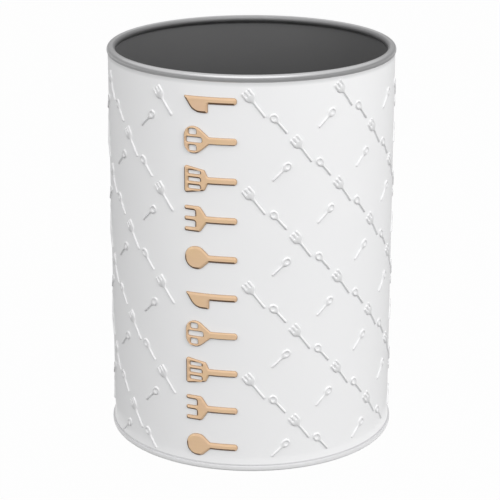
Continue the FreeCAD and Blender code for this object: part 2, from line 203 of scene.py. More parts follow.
# White lacquer: the two tones and the roughness that noise spreads, the sheet's slow waves and the
# orange peel. Every scale is a noise's, and every bump is (strength, depth).
WHITE_COAT = {"Coat Weight": 0.25, "Coat Roughness": 0.22}
WHITE_TONES = ((0.835, 0.837, 0.845), (0.862, 0.862, 0.866))
WHITE_TONE_SCALE = 22.0
WHITE_ROUGHNESS = (0.36, 0.48)
WHITE_ROUGHNESS_SCALE = 240.0
WAVES_SCALE = 75.0
WAVES_BUMP = (0.5, 0.08)
PEEL_SCALE = 1500.0
PEEL_BUMP = (0.35, 0.012)
PEEL_DETAIL = 3.0

# Where it stands out from the wall it has painted shade, a little greyer to dim its highlights, from none
# to full at these shares of the pressed forms' height
RAISED_SHADE_FROM_SHARE = 0.4
RAISED_SHADE_FULL_SHARE = 0.9
RAISED_SHADE_AMOUNT = 0.9
RAISED_SHADE_TONE = (0.72, 0.72, 0.725)

# Painted shade on the hem's ledge, from full to none this far up and down, and painted shadow under the
# bead
LEDGE_REACH = (0.2, 0.7)
LEDGE_SHADE_TONE = (0.62, 0.62, 0.63)
CREVICE_REACH = 1.1
CREVICE_SHADOW_TONE = (0.68, 0.68, 0.685)

# Grey lacquer inside
GREY_COAT = {"Coat Weight": 0.1}
GREY_TONES = ((0.105, 0.105, 0.106), (0.12, 0.12, 0.121))
GREY_TONE_SCALE = 30.0
GREY_ROUGHNESS = (0.42, 0.54)
GREY_ROUGHNESS_SCALE = 300.0
GREY_PEEL_SCALE = 1100.0
GREY_PEEL_BUMP = (0.4, 0.015)

# Bright steel, with lines drawn round it by noise that is stretched round the pot, at this many metres
# to the radian
STEEL_TONES = ((0.52, 0.52, 0.525), (0.62, 0.62, 0.625))
STEEL_ROUGHNESS = (0.29, 0.39)
LINES_ROUND = 0.002
LINES_SCALE = 9000.0
LINES_DETAIL = 3.0
LINES_NOISE_ROUGHNESS = 0.6
LINES_BUMP = (0.12, 0.01)

# It is duller, with painted shade, on the bead's inner side, from none to full this far in from its
# middle
DULL_FROM = 0.3
DULL_TO = 1.1
INNER_SHADE_TONE = (0.36, 0.36, 0.365)
DULL_ROUGHNESS = 0.25

# Tan print: two tones that clouds blend, and a deeper one in its grain, which is noise stretched round
# the pot in the same way; the deeper tone is also painted shade on the flanks that face up and right
TAN_GLOSS = {"Specular IOR Level": 0.4}
TAN_TONES = ((0.81, 0.58, 0.32), (0.78, 0.54, 0.39))
TAN_GRAIN_AND_SHADE_TONE = (0.64, 0.43, 0.27)
TAN_ROUGHNESS = (0.38, 0.5)
CLOUD_SCALE = 130.0
CLOUD_DETAIL = 1.0
GRAIN_ROUND = 0.012
GRAIN_SCALE = 700.0
GRAIN_DETAIL = 4.0
GRAIN_NOISE_ROUGHNESS = 0.6
GRAIN_SHARE = 0.5
GRAIN_BUMP = (0.25, 0.02)

# Its flanks have painted shade: dark brown where they face left and down, away from the key light, and
# the deeper tan where they face the other way, to dim their highlight. Both tones come in between two
# sizes of that facing. Its feet have painted shadow near the wall.
FLANK_FACING = (-0.7, 0.0, -0.7)
SHADE_FROM = 0.2
SHADE_FULL = 0.34
UPPER_FLANK_SHADE = 0.75
FOOT_FULL = 0.2
FOOT_NONE = 0.45
FOOT_SHADOW = 0.55
FLANK_SHADE_TONE = (0.15, 0.08, 0.042)

# The studio, in metres: how white the floor shows, the world's daylight, and the cards that only
# reflections show
FLOOR_RADIUS = 6.0
FLOOR_FINISH = {"Base Color": (0.12, 0.12, 0.12, 1.0), "Roughness": 0.9, "Specular IOR Level": 0.1}
FLOOR_WHITE_SHARE = 0.985
DAYLIGHT = 0.665
CARD_STEPS = 96
GREY_GLOW = 0.45
WHITE_GLOW = 2.0
SURROUND = {"inner": 3.4, "outer": 3.4, "low": 0.02, "high": 1.9}
TABLE = {"inner": 0.06, "outer": 1.2, "low": 0.001, "high": 0.001}
SOFTBOX = {"left": -1.3, "right": 1.1, "front": -2.0, "back": -0.3, "level": 2.2}

# Lamps as (place, width, height, watts), in metres, all aimed at the pot's middle
LAMP_AIM = Vector((0, 0, 0.08))
LAMPS = {
    "key_lamp": ((1.3, -1.7, 1.25), 2.0, 1.6, 29.8),
    "right_lamp": ((2.4, -0.05, 0.4), 1.6, 0.8, 15.0),
    "fill_lamp": ((-1.6, -1.5, 1.1), 2.6, 2.2, 25.0),
}

# Camera, fitted to the photograph's outline, in metres, with its lens and sensor in millimetres
CAMERA_DISTANCE = 0.7558
CAMERA_ELEVATION = math.radians(18.19)
CAMERA_AIM = Vector((-0.00054, 0.0, 0.06865))
CAMERA_LENS = 140.91
CAMERA_SENSOR = 36.0
CAMERA_CLIP = (0.05, 30.0)


def add(tree, kind, inputs=None, **settings):
    """A node with its settings, and its inputs by name or number: values or other nodes' outputs."""
    node = tree.nodes.new(kind)
    for name, value in settings.items():
        setattr(node, name, value)
    for key, value in (inputs or {}).items():
        if isinstance(value, bpy.types.NodeSocket):
            tree.links.new(value, node.inputs[key])
        else:
            node.inputs[key].default_value = value
    return node


def maths(tree, operation, *values):
    """The output of a Math node on values or other outputs."""
    node = add(tree, "ShaderNodeMath", dict(enumerate(values)), operation=operation)
    return node.outputs[0]


def dot(tree, first, second):
    """The output of the dot product of two vectors."""
    inputs = {0: first, 1: second}
    return add(tree, "ShaderNodeVectorMath", inputs, operation="DOT_PRODUCT").outputs["Value"]


def rounded(corners, inset=0.0, bend_step=FINE_BEND):
    """Points round a closed outline with its corners bent, moved to its left by the inset.

    Each corner is (across, up, bend). An outline drawn anticlockwise moves inwards, and a hole, which
    is drawn clockwise, grows. The number of points doesn't depend on the inset."""
    points = []
    for i, (across, up, bend) in enumerate(corners):
        corner = Vector((across, up))
        way_in = (corner - Vector(corners[i - 1][:2])).normalized()
        way_out = (Vector(corners[(i + 1) % len(corners)][:2]) - corner).normalized()
        turn = math.atan2(way_in.x * way_out.y - way_in.y * way_out.x, way_in.dot(way_out))
        left_in = Vector((-way_in.y, way_in.x))
        left_out = Vector((-way_out.y, way_out.x))
        corner = corner + (left_in + left_out) * (inset / (1 + way_in.dot(way_out)))
        if not bend:
            points.append(corner)
            continue
        side = 1 if turn > 0 else -1
        radius = max(bend - side * inset, LEAST_BEND)
        start = corner - way_in * (radius * math.tan(abs(turn) / 2))
        centre = start + left_in * (side * radius)
        steps = max(1, round(abs(turn) / bend_step))
        for k in range(steps + 1):
            points.append(centre + Matrix.Rotation(turn * k / steps, 2) @ (start - centre))
    return points


def mirrored(upper_half):
    """An outline that is the same on both sides of its level axis, from its upper half."""
    return upper_half + [(across, -up, bend) for across, up, bend in reversed(upper_half)]


def box_outline(left, right, low, high, bend, hole=False):
    """An upright box, drawn anticlockwise, or clockwise for a hole."""
    corners = [(right, high, bend), (left, high, bend), (left, low, bend), (right, low, bend)]
    return corners[::-1] if hole else corners


def finish_mesh(bm, name, crease=CREASE):
    """A mesh with smooth faces, and sharp edges where two faces meet at more than the crease."""
    mesh = bpy.data.meshes.new(name)
    for face in bm.faces:
        face.smooth = True
    for edge in bm.edges:
        edge.smooth = len(edge.link_faces) < 2 or edge.calc_face_angle(0.0) < crease
    bm.to_mesh(mesh)
    bm.free()
    return mesh


def new_piece(name, mesh, material):
    """A piece of the object, at the origin, that rides on the pot."""
    piece = bpy.data.objects.new(name, mesh)
    bpy.context.scene.collection.objects.link(piece)
    mesh.materials.clear()
    mesh.materials.append(material)
    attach(piece, "root")
    return piece


def turned(name, corners, material, node):
    """A piece turned round the pot's axis from one closed outline of (radius, level, bend)."""
    bm = bmesh.new()
    rings = []
    for point in rounded(corners):
        if point.x < AXIS_TOUCH:
            rings.append([bm.verts.new((0, 0, point.y * MM))])
            continue
        ring = []
        for step in range(TURN_STEPS):
            angle = 2 * math.pi * step / TURN_STEPS
            place = (point.x * math.sin(angle) * MM, -point.x * math.cos(angle) * MM, point.y * MM)
            ring.append(bm.verts.new(place))
        rings.append(ring)
    for low, high in zip(rings, rings[1:] + rings[:1]):
        if len(low) == len(high) == 1:
            continue
        for step in range(TURN_STEPS):
            after = (step + 1) % TURN_STEPS
            around = [low[step % len(low)], low[after % len(low)]]
            around += [high[after % len(high)], high[step % len(high)]]
            bm.faces.new(list(dict.fromkeys(around)))
    bmesh.ops.recalc_face_normals(bm, faces=bm.faces)
    piece = new_piece(name, finish_mesh(bm, name), material)
    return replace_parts(piece, node)


def ring_edges(bm, ring):
    """The closed run of edges through a ring's points."""
    edges = []
    for here, after in zip(ring, ring[1:] + ring[:1]):
        edges.append(bm.edges.get((here, after)) or bm.edges.new((here, after)))
    return edges


def stepped(bm, corners, profile, bend_step):
    """Bands up from an outline by steps of (inset, height). Returns the first and last rings' edges."""
    rings = []
    for inset, height in profile:
        points = rounded(corners, inset, bend_step)
        rings.append([bm.verts.new((p.x * MM, -height * MM, p.y * MM)) for p in points])
    for low, high in zip(rings, rings[1:]):
        for i in range(len(low)):
            after = (i + 1) % len(low)
            bm.faces.new((low[i], low[after], high[after], high[i]))
    return ring_edges(bm, rings[0]), ring_edges(bm, rings[-1])


def raised_form(outlines, profile, bend_step, dishes=(), dish_profile=(), closed=True):
    """A raised form in the flat: bands up from its outlines, then a level top.

    X is across, Z is up, and -Y is out of the wall. A dish is drawn anticlockwise, and sinks into the
    top by its own steps of (inset, height)."""
    bm = bmesh.new()
    feet, tops = [], []
    for corners in outlines:
        foot, top = stepped(bm, corners, profile, bend_step)
        feet += foot
        tops += top
    for corners in dishes:
        rim, floor = stepped(bm, corners, dish_profile, bend_step)
        tops += rim
        bmesh.ops.triangle_fill(bm, use_beauty=True, edges=floor, normal=OUTWARDS)
    bmesh.ops.triangle_fill(bm, use_beauty=True, edges=tops, normal=OUTWARDS)
    if closed:
        bmesh.ops.triangle_fill(bm, use_beauty=True, edges=feet, normal=-OUTWARDS)
    return bm


def cut_strips(bm, width):
    """Cut a flat form into upright strips, so that it can follow the round wall."""
    across = [v.co.x for v in bm.verts]
    first = math.ceil(min(across) / (width * MM))
    last = math.floor(max(across) / (width * MM))
    for step in range(first, last + 1):
        everything = bm.verts[:] + bm.edges[:] + bm.faces[:]
        place = (step * width * MM, 0, 0)
        bmesh.ops.bisect_plane(bm, geom=everything, dist=CUT_TOUCH, plane_co=place, plane_no=(1, 0, 0))


def wall_reach(level):
    """Radius of the outer wall's face at a level, with the flare at its foot."""
    return WALL_RADIUS + FLARE_OUT * min(1.0, max(0.0, (FLARE_TOP - level) / FLARE_HEIGHT))


def lay_on_wall(bm, around, level):
    """Bend a flat form round the wall, that far round it from the front and at that level."""
    for vert in bm.verts:
        height = level + vert.co.z / MM
        angle = around / WALL_RADIUS + vert.co.x / MM / WALL_RADIUS
        reach = wall_reach(height) - vert.co.y / MM
        vert.co = (reach * math.sin(angle) * MM, -reach * math.cos(angle) * MM, height * MM)


# Finishes

# Where a Mix node has its two colours and its mixed colour
MIX_FIRST = 6
MIXED = 2


def new_finish(name, constants):
    """A material, its tree, its surface shader with constants set on it, and its Object coordinates."""
    material = bpy.data.materials.new(name)
    material.use_nodes = True
    tree = material.node_tree
    shader = tree.nodes["Principled BSDF"]
    for key, value in constants.items():
        shader.inputs[key].default_value = value
    place = add(tree, "ShaderNodeTexCoord").outputs["Object"]
    return material, tree, shader, place


def noise(tree, place, scale, detail=2.0, roughness=0.5):
    """Noise from 0 to 1, with as many features to the metre as its scale."""
    inputs = {"Vector": place, "Scale": scale, "Detail": detail, "Roughness": roughness}
    return add(tree, "ShaderNodeTexNoise", inputs).outputs["Fac"]


def spread(tree, value, low, high):
    """A value from 0 to 1, moved to a range."""
    inputs = {"Value": value, "To Min": low, "To Max": high}
    return add(tree, "ShaderNodeMapRange", inputs).outputs["Result"]


def rise(tree, value, none_at, full_at, most=1.0, kind="SMOOTHSTEP"):
    """A rise from none to the most, as a value goes from one place to another."""
    inputs = {"Value": value, "From Min": none_at, "From Max": full_at, "To Max": most}
    return add(tree, "ShaderNodeMapRange", inputs, interpolation_type=kind).outputs["Result"]


def blend(tree, factor, first, second):
    """A mix of two colours."""
    node = add(tree, "ShaderNodeMix", {0: factor}, data_type="RGBA")
    for socket, colour in zip(node.inputs[MIX_FIRST:], (first, second)):
        if isinstance(colour, bpy.types.NodeSocket):
            tree.links.new(colour, socket)
        else:
            socket.default_value = (*colour, 1.0)
    return node.outputs[MIXED]


def bumps(tree, *layers):
    """The normal of bumps laid one over another. Each layer is (height, strength, distance in mm)."""
    normal = None
    for height, strength, depth in layers:
        inputs = {"Height": height, "Strength": strength, "Distance": depth * MM}
        if normal:
            inputs["Normal"] = normal
        normal = add(tree, "ShaderNodeBump", inputs).outputs["Normal"]
    return normal


def polar(tree, place):
    """Distance from the pot's axis, angle round it, and level, in metres and radians."""
    split = add(tree, "ShaderNodeSeparateXYZ", {0: place})
    x, y, z = split.outputs
    squares = maths(tree, "ADD", maths(tree, "MULTIPLY", x, x), maths(tree, "MULTIPLY", y, y))
    reach = maths(tree, "SQRT", squares)
    angle = maths(tree, "ARCTAN2", x, maths(tree, "MULTIPLY", y, -1.0))
    return reach, angle, z


def white_lacquer():
    """Satin white lacquer on pressed sheet: a fine orange peel over the sheet's slow waves, with painted
    shade on the raised forms, on the hem's ledge and under the bead.
    """
    material, tree, shader, place = new_finish("white_lacquer", WHITE_COAT)
    reach, _, level = polar(tree, place)
    flare = rise(tree, level, FLARE_TOP * MM, HEM_HEIGHT * MM, FLARE_OUT * MM, "LINEAR")
    # Painted shade: the raised forms are greyer, to dim their highlights
    raised_shade_from = (WALL_RADIUS + RAISED_SHADE_FROM_SHARE * PRESSED_HEIGHT) * MM
    raised_shade_full = (WALL_RADIUS + RAISED_SHADE_FULL_SHARE * PRESSED_HEIGHT) * MM
    raised = rise(tree, maths(tree, "SUBTRACT", reach, flare), raised_shade_from, raised_shade_full, RAISED_SHADE_AMOUNT)
    # Painted shade on the hem's ledge, which dims the highlight of its up-facing bend
    off_ledge = maths(tree, "ABSOLUTE", maths(tree, "SUBTRACT", level, HEM_HEIGHT * MM))
    ledge_shade = rise(tree, off_ledge, LEDGE_REACH[1] * MM, LEDGE_REACH[0] * MM)
    # Painted shadow on the wall right under the bead
    under_bead = BEAD_LEVEL - BEAD_RADIUS
    crevice_shadow = rise(tree, level, (under_bead - CREVICE_REACH) * MM, under_bead * MM, kind="LINEAR")
    tone = blend(tree, noise(tree, place, WHITE_TONE_SCALE), *WHITE_TONES)
    tone = blend(tree, raised, tone, RAISED_SHADE_TONE)
    tone = blend(tree, ledge_shade, tone, LEDGE_SHADE_TONE)
    tone = blend(tree, crevice_shadow, tone, CREVICE_SHADOW_TONE)
    roughness = spread(tree, noise(tree, place, WHITE_ROUGHNESS_SCALE), *WHITE_ROUGHNESS)
    waves = (noise(tree, place, WAVES_SCALE), *WAVES_BUMP)
    peel = (noise(tree, place, PEEL_SCALE, PEEL_DETAIL), *PEEL_BUMP)
    tree.links.new(tone, shader.inputs["Base Color"])
    tree.links.new(roughness, shader.inputs["Roughness"])
    tree.links.new(bumps(tree, waves, peel), shader.inputs["Normal"])
    return material


def grey_lacquer():
    """Dark grey lacquer inside, a little uneven."""
    material, tree, shader, place = new_finish("grey_lacquer", GREY_COAT)
    tone = blend(tree, noise(tree, place, GREY_TONE_SCALE), *GREY_TONES)
    roughness = spread(tree, noise(tree, place, GREY_ROUGHNESS_SCALE), *GREY_ROUGHNESS)
    peel = (noise(tree, place, GREY_PEEL_SCALE, PEEL_DETAIL), *GREY_PEEL_BUMP)
    tree.links.new(tone, shader.inputs["Base Color"])
    tree.links.new(roughness, shader.inputs["Roughness"])
    tree.links.new(bumps(tree, peel), shader.inputs["Normal"])
    return material


def bright_steel():
    """Bright steel with fine drawn lines round the rim, duller inside, with painted shade there."""
    material, tree, shader, place = new_finish("bright_steel", {"Metallic": 1.0})
    reach, angle, level = polar(tree, place)
    around = maths(tree, "MULTIPLY", angle, LINES_ROUND)
    stretched = add(tree, "ShaderNodeCombineXYZ", {0: reach, 1: around, 2: level}).outputs[0]
    lines = noise(tree, stretched, LINES_SCALE, LINES_DETAIL, LINES_NOISE_ROUGHNESS)
    # Painted shade on the bead's inner side, darkening its reflections; it is rougher there too
    inside = rise(tree, reach, (BEAD_CENTRE - DULL_FROM) * MM, (BEAD_CENTRE - DULL_TO) * MM)
    tone = blend(tree, inside, blend(tree, lines, *STEEL_TONES), INNER_SHADE_TONE)
    lines_roughness = spread(tree, lines, *STEEL_ROUGHNESS)
    roughness = maths(tree, "MULTIPLY_ADD", inside, DULL_ROUGHNESS, lines_roughness)
    tree.links.new(tone, shader.inputs["Base Color"])
    tree.links.new(roughness, shader.inputs["Roughness"])
    tree.links.new(bumps(tree, (lines, *LINES_BUMP)), shader.inputs["Normal"])
    return material


def flank_facing(tree, angle):
    """How squarely a face looks left and down, but for the way that the wall itself looks there."""
    normal = add(tree, "ShaderNodeTexCoord").outputs["Normal"]
    sine = maths(tree, "SINE", angle)
    forward = maths(tree, "MULTIPLY", maths(tree, "COSINE", angle), -1.0)
    out_of_wall = add(tree, "ShaderNodeCombineXYZ", {0: sine, 1: forward}).outputs[0]
    without_wall = maths(tree, "MULTIPLY", sine, -FLANK_FACING[0])
    facing = dot(tree, normal, FLANK_FACING)
    return maths(tree, "MULTIPLY_ADD", dot(tree, normal, out_of_wall), without_wall, facing)


def tan_print():
    """Satin tan with a soft wood-like grain, and painted shade, dark brown, on the flanks that face left
    and down.
    """
    material, tree, shader, place = new_finish("tan_print", TAN_GLOSS)
    reach, angle, level = polar(tree, place)
    facing = flank_facing(tree, angle)
    # Painted shade: dark brown on the flanks that face left and down, away from the key light
    shade = rise(tree, facing, SHADE_FROM, SHADE_FULL)
    # Painted shade: the deeper tan on the flanks that face up and right, to dim their highlight
    lit_side_shade = rise(tree, facing, -SHADE_FROM, -SHADE_FULL, UPPER_FLANK_SHADE)
    # Painted shadow on the feet, darker near the wall
    back = WALL_RADIUS + CLEARANCE
    foot = rise(tree, reach, (back + FOOT_NONE) * MM, (back + FOOT_FULL) * MM, FOOT_SHADOW)
    round_pot = maths(tree, "MULTIPLY", angle, GRAIN_ROUND)
    along = add(tree, "ShaderNodeCombineXYZ", {0: round_pot, 1: level}).outputs[0]
    grain = noise(tree, along, GRAIN_SCALE, GRAIN_DETAIL, GRAIN_NOISE_ROUGHNESS)
    warm = blend(tree, noise(tree, place, CLOUD_SCALE, CLOUD_DETAIL), *TAN_TONES)
    # The deeper tone is the grain, and painted shade on the flanks that face up and right
    grain_and_flank_shade = maths(tree, "MAXIMUM", maths(tree, "MULTIPLY", grain, GRAIN_SHARE), lit_side_shade)
    face = blend(tree, grain_and_flank_shade, warm, TAN_GRAIN_AND_SHADE_TONE)
    tone = blend(tree, maths(tree, "MAXIMUM", shade, foot), face, FLANK_SHADE_TONE)
    tree.links.new(tone, shader.inputs["Base Color"])
    tree.links.new(spread(tree, grain, *TAN_ROUGHNESS), shader.inputs["Roughness"])
    tree.links.new(bumps(tree, (grain, *GRAIN_BUMP)), shader.inputs["Normal"])
    return material


WHITE = white_lacquer()
GREY = grey_lacquer()
STEEL = bright_steel()
TAN = tan_print()


# The pot's turned sheets


def make_outer_wall():
    """The rolled outer wall, flared over the hem."""
    flare_outer = WALL_RADIUS + FLARE_OUT
    return turned("outer_wall_sheet", [
        (WALL_RADIUS, SHEET_TOP, SHEET_EDGE_BEND),
        (WALL_INNER, SHEET_TOP, SHEET_EDGE_BEND),
        (WALL_INNER, FLARE_TOP, FLARE_BEND),
        (flare_outer - WALL_SHEET, HEM_HEIGHT, SHEET_EDGE_BEND),
        (flare_outer, HEM_HEIGHT, SHEET_EDGE_BEND),
        (WALL_RADIUS, FLARE_TOP, FLARE_BEND),
    ], WHITE, "outer_wall")


def make_back_seam():
    """The lap seam of the outer wall, up its back, pressed flat with soft shoulders."""
    low = FLARE_TOP + SEAM_MARGIN
    high = SHEET_TOP - BEAD_RADIUS - SEAM_MARGIN
    outline = box_outline(-SEAM_HALF, SEAM_HALF, low, high, SEAM_CORNER_BEND)
    bm = raised_form([outline], SEAM_STEPS, FINE_BEND)
    cut_strips(bm, STRIP_WIDTH)
    lay_on_wall(bm, math.pi * WALL_RADIUS, 0.0)
    return new_piece("back_seam_strip", finish_mesh(bm, "back_seam_strip"), WHITE)


def make_inner_liner():
    """The smooth sleeve inside, from the hem's groove up into the bead."""
    outline = box_outline(LINER_INNER, LINER_OUTER, BASE_SHEET, SHEET_TOP, LINER_EDGE_BEND)
    return turned("inner_liner_sleeve", outline, GREY, "inner_liner")


def make_inner_floor():
    """The disc that closes the liner."""
    edge = LINER_INNER - CLEARANCE
    return turned("inner_floor_disc", [
        (edge, PANEL_TOP + FLOOR_SHEET, FLOOR_EDGE_BEND),
        (0.0, PANEL_TOP + FLOOR_SHEET, None),
        (0.0, PANEL_TOP, None),
        (edge, PANEL_TOP, FLOOR_EDGE_BEND),
    ], GREY, "inner_floor")


def make_base_plate():
    """One pressed sheet: raised panel, foot, rolled hem, and the upstand inside the outer wall."""
    groove_inner = LINER_INNER - CLEARANCE
    panel_edge = groove_inner - BASE_SHEET
    upstand_outer = WALL_INNER - CLEARANCE
    hem_inside = HEM_OUTER - BASE_SHEET
    hem_ceiling = HEM_HEIGHT - BASE_SHEET
    return turned("base_plate_pressing", [
        (0.0, BASE_RAISE, None),
        (panel_edge, BASE_RAISE, PANEL_BEND),
        (panel_edge, 0.0, FOOT_EDGE_BEND),
        (HEM_OUTER, 0.0, HEM_FOOT_BEND),
        (HEM_OUTER, HEM_HEIGHT, HEM_TOP_BEND),
        (upstand_outer, HEM_HEIGHT, None),
        (upstand_outer, HEM_HEIGHT + UPSTAND_HEIGHT, None),
        (upstand_outer - BASE_SHEET, HEM_HEIGHT + UPSTAND_HEIGHT, None),
        (upstand_outer - BASE_SHEET, hem_ceiling, None),
        (hem_inside, hem_ceiling, None),
        (hem_inside, BASE_SHEET, HEM_TOP_BEND),
        (groove_inner, BASE_SHEET, None),
        (groove_inner, PANEL_TOP, None),
        (0.0, PANEL_TOP, None),
    ], WHITE, "base_plate")


def make_rim_ring():
    """The hollow bead over both walls, slit underneath where their top edges enter."""
    slit_from = LINER_INNER - CLEARANCE - BEAD_CENTRE
    slit_to = WALL_RADIUS + CLEARANCE - BEAD_CENTRE
    outline = []
    for radius, forward in ((BEAD_RADIUS, True), (BEAD_RADIUS - BEAD_SHEET, False)):
        first = math.asin(slit_to / radius)
        last = 2 * math.pi + math.asin(slit_from / radius)
        ring = []
        for step in range(BEAD_STEPS + 1):
            angle = first + (last - first) * step / BEAD_STEPS
            reach = BEAD_CENTRE + radius * math.sin(angle)
            ring.append((reach, BEAD_LEVEL - radius * math.cos(angle), None))
        outline += ring if forward else ring[::-1]
    return turned("rim_bead", outline, STEEL, "rim_ring")


# The column of raised figures


def handle_and(head):
    """A figure that is the same on both sides: the handle's end, then the upper half of the head."""
    return mirrored([(FIGURE_HALF, HANDLE_HALF, HANDLE_BEND)] + head)


def spoon_outlines():
    """A spoon with its bowl at the left end."""
    return [handle_and([
        (TIP + SPOON_NECK, HANDLE_HALF, CROOK_BEND),
        (TIP + SPOON_HEEL, SPOON_HALF, SPOON_HEEL_BEND),
        (TIP, SPOON_HALF, SPOON_TIP_BEND),
    ])]


def fork_outlines():
    """A fork with three tines at the left end."""
    return [handle_and([
        (TIP + FORK_NECK, HANDLE_HALF, CROOK_BEND),
        (TIP + FORK_HEEL, FORK_HALF, FORK_HEEL_BEND),
        (TIP, FORK_HALF, TINE_BEND),
        (TIP, FORK_HALF - TINE_WIDTH, TINE_BEND),
        (TIP + FORK_ROOT, FORK_HALF - TINE_WIDTH, TINE_BEND),
        (TIP + FORK_ROOT, TINE_HALF, TINE_BEND),
        (TIP, TINE_HALF, TINE_BEND),
    ])]


def turner_outlines():
    """A turner that widens to its edge, with three slots."""
    outlines = [handle_and([
        (TIP + TURNER_NECK, HANDLE_HALF, CROOK_BEND),
        (TIP + TURNER_HEEL, TURNER_HEEL_HALF, TURNER_BEND),
        (TIP, TURNER_HALF, TURNER_BEND),
    ])]
    for row in (SLOT_SPACING, 0, -SLOT_SPACING):
        low, high = row - SLOT_HALF, row + SLOT_HALF
        outlines.append(box_outline(TIP + SLOT_FAR, TIP + SLOT_NEAR, low, high, SLOT_BEND, hole=True))
    return outlines


def whisk_outlines():
    """A whisk's cage of wires, open between them."""
    cage = handle_and([
        (TIP + WHISK_NECK, HANDLE_HALF, CROOK_BEND),
        (TIP + WHISK_BELLY, WHISK_HALF, WHISK_BELLY_BEND),
        (TIP, WHISK_HALF, WHISK_TIP_BEND),
    ])
    near, far = TIP + WHISK_SIDE_NEAR, TIP + WHISK_SIDE_FAR
    low, high = WHISK_EYE_HALF + WHISK_WIRE, WHISK_HALF - WHISK_WIRE
    eye_near, eye_far = TIP + WHISK_EYE_NEAR, TIP + WHISK_WIRE
    eye = box_outline(eye_far, eye_near, -WHISK_EYE_HALF, WHISK_EYE_HALF, WHISK_EYE_BEND, hole=True)
    upper = box_outline(far, near, low, high, WHISK_EYE_BEND, hole=True)
    lower = box_outline(far, near, -high, -low, WHISK_EYE_BEND, hole=True)
    return [cage, eye, upper, lower]


def knife_outlines():
    """A knife with a straight back, and a belly that bends up to its point."""
    return [[
        (FIGURE_HALF, HANDLE_HALF, HANDLE_BEND),
        (TIP, HANDLE_HALF, KNIFE_POINT_BEND),
        (TIP + KNIFE_BELLY, -KNIFE_DEPTH, KNIFE_BELLY_BEND),
        (TIP + KNIFE_HEEL, -KNIFE_DEPTH, CROOK_BEND),
        (TIP + KNIFE_HEEL, -HANDLE_HALF, CROOK_BEND),
        (FIGURE_HALF, -HANDLE_HALF, HANDLE_BEND),
    ]]


def figure_steps(width):
    """The steps of (inset, height) from a figure's back up to its front face."""
    front = CLEARANCE + FIGURE_HEIGHT
    return [
        (0.0, CLEARANCE),
        (0.0, FLANK_HEIGHT),
        (SLOPE_START[0] * width, SLOPE_START[1]),
        (SLOPE_END_SHARE * width, front - SLOPE_END_DROP),
        (width, front),
    ]


def make_figures():
    """Ten raised figures up the front, in the same order in each half of the column."""
    kinds = {
        "spoon": spoon_outlines(),
        "fork": fork_outlines(),
        "turner": turner_outlines(),
        "whisk": whisk_outlines(),
        "knife": knife_outlines(),
    }
    halves = ("lower", "upper")
    steps = len(halves) * len(kinds) - 1
    for half, place_name in enumerate(halves):
        for order, (kind, outlines) in enumerate(kinds.items()):
            share = (order + half * len(kinds)) / steps
            level = FIGURE_FIRST + (POT_HEIGHT - FIGURE_FIRST - FIGURE_LAST) * share
            bm = raised_form(outlines, figure_steps(FIGURE_SLOPES[kind]), FINE_BEND)
            cut_strips(bm, STRIP_WIDTH)
            lay_on_wall(bm, COLUMN_ARC, level)
            name = f"{place_name}_{kind}_motif"
            piece = new_piece(name, finish_mesh(bm, name, FIGURE_CREASE), TAN)
            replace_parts(piece, f"{place_name}_{kind}_figure")


# The pressed pattern


def pressed_form(name, corners, dishes=()):
    """A small pressed form in the flat, its head's middle at the origin and its handle along +X."""
    bm = raised_form([corners], PRESSED_STEPS, COARSE_BEND, dishes, DISH_STEPS, closed=False)
    cut_strips(bm, PRESSED_STRIP_WIDTH)
    form = bpy.data.objects.new(name, finish_mesh(bm, name, PRESSED_CREASE))
    bpy.context.scene.collection.objects.link(form)
    return form


def clear_levels(corners, slant):
    """Lowest and highest level for a slanted form that keeps it off the hem and the bead."""
    turn = Matrix.Rotation(math.radians(slant), 2)
    levels = [(turn @ point).y for point in rounded(corners)]
    lowest = HEM_HEIGHT + CLEARANCE - min(levels)
    highest = BEAD_LEVEL - BEAD_RADIUS - CLEARANCE - max(levels)
    return lowest, highest


def tree_input(tree, name, kind):
    """A named input of a node group, such as Float or Object."""
    tree.interface.new_socket(name=name, in_out="INPUT", socket_type="NodeSocket" + kind)


def compared(tree, first, operation, second):
    """Whether one value is less or greater than another, point by point."""
    return add(tree, "FunctionNodeCompare", {0: first, 1: second}, operation=operation).outputs[0]


def either(tree, first, second):
    """Whether either of two conditions holds."""
    return add(tree, "FunctionNodeBooleanMath", {0: first, 1: second}, operation="OR").outputs[0]


def lattice_points(tree, given):
    """Points of the pattern in the flat, one for each fork, in columns that each start a drop lower."""
    index = add(tree, "GeometryNodeInputIndex").outputs[0]
    column = maths(tree, "FLOORED_MODULO", index, given["Columns"])
    row = maths(tree, "FLOOR", maths(tree, "DIVIDE", index, given["Columns"]))
    across = maths(tree, "MULTIPLY_ADD", column, given["Column Pitch"], given["First Column"])
    drop = maths(tree, "MULTIPLY", given["Column Drop"], -1.0)
    fallen = maths(tree, "MULTIPLY_ADD", column, drop, given["First Row"])
    phase = maths(tree, "FLOORED_MODULO", fallen, given["Row Pitch"])
    up = maths(tree, "MULTIPLY_ADD", maths(tree, "SUBTRACT", row, 1.0), given["Row Pitch"], phase)
    place = add(tree, "ShaderNodeCombineXYZ", {0: across, 2: up}).outputs[0]
    count = maths(tree, "MULTIPLY", given["Columns"], given["Rows"])
    return add(tree, "GeometryNodePoints", {"Count": count, "Position": place}).outputs[0]


